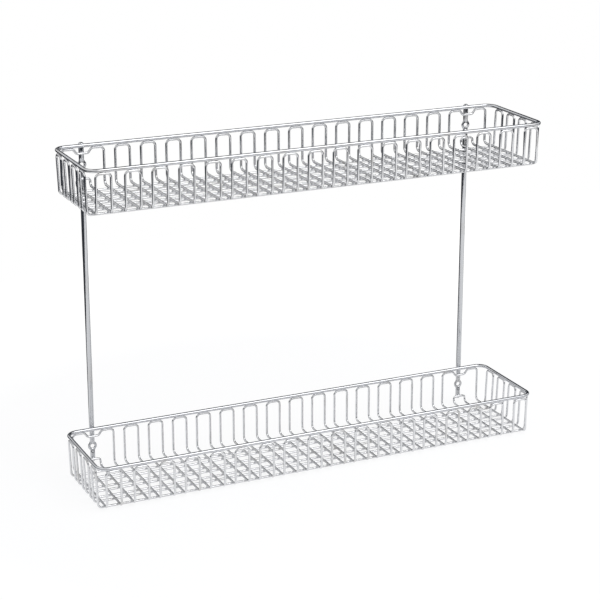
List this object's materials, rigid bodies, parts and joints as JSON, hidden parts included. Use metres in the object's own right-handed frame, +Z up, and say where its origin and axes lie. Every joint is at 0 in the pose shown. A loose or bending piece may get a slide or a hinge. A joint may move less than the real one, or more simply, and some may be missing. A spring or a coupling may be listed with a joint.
{
  "type": "under sink organizer",
  "caption": "Tiered wire organizer: long shallow baskets, one above the other on rear rods with screw eyes, for the inside of a cabinet door or wall.",
  "frame": {"origin": "on the floor plane that the lower basket stands on, under the middle of the whole organizer's bounding box", "axes": "+X along the baskets to the right as seen from the front, +Y from the front to the wall behind the rods, +Z up"},
  "size_m": [0.48, 0.11, 0.336],
  "materials": {
    "rim_chrome": "polished",
    "wire_chrome": "polished",
    "post_chrome": "polished"
  },
  "bodies": {
    "root": {"lower_rim": "rim_chrome", "lower_long_loop_1": "wire_chrome", "lower_long_loop_2": "wire_chrome", "lower_long_loop_3": "wire_chrome", "lower_long_loop_4": "wire_chrome", "lower_cross_loop_1": "wire_chrome", "lower_cross_loop_2": "wire_chrome", "lower_cross_loop_3": "wire_chrome", "lower_cross_loop_4": "wire_chrome", "lower_cross_loop_5": "wire_chrome", "lower_cross_loop_6": "wire_chrome", "lower_cross_loop_7": "wire_chrome", "lower_cross_loop_8": "wire_chrome", "lower_cross_loop_9": "wire_chrome", "lower_cross_loop_10": "wire_chrome", "lower_cross_loop_11": "wire_chrome", "lower_cross_loop_12": "wire_chrome", "lower_cross_loop_13": "wire_chrome", "lower_cross_loop_14": "wire_chrome", "lower_post_loop_left": "wire_chrome", "lower_post_loop_right": "wire_chrome", "upper_rim": "rim_chrome", "upper_long_loop_1": "wire_chrome", "upper_long_loop_2": "wire_chrome", "upper_long_loop_3": "wire_chrome", "upper_long_loop_4": "wire_chrome", "upper_cross_loop_1": "wire_chrome", "upper_cross_loop_2": "wire_chrome", "upper_cross_loop_3": "wire_chrome", "upper_cross_loop_4": "wire_chrome", "upper_cross_loop_5": "wire_chrome", "upper_cross_loop_6": "wire_chrome", "upper_cross_loop_7": "wire_chrome", "upper_cross_loop_8": "wire_chrome", "upper_cross_loop_9": "wire_chrome", "upper_cross_loop_10": "wire_chrome", "upper_cross_loop_11": "wire_chrome", "upper_cross_loop_12": "wire_chrome", "upper_cross_loop_13": "wire_chrome", "upper_cross_loop_14": "wire_chrome", "upper_post_loop_left": "wire_chrome", "upper_post_loop_right": "wire_chrome", "left_post": "post_chrome", "right_post": "post_chrome"}
  },
  "joints": []
}
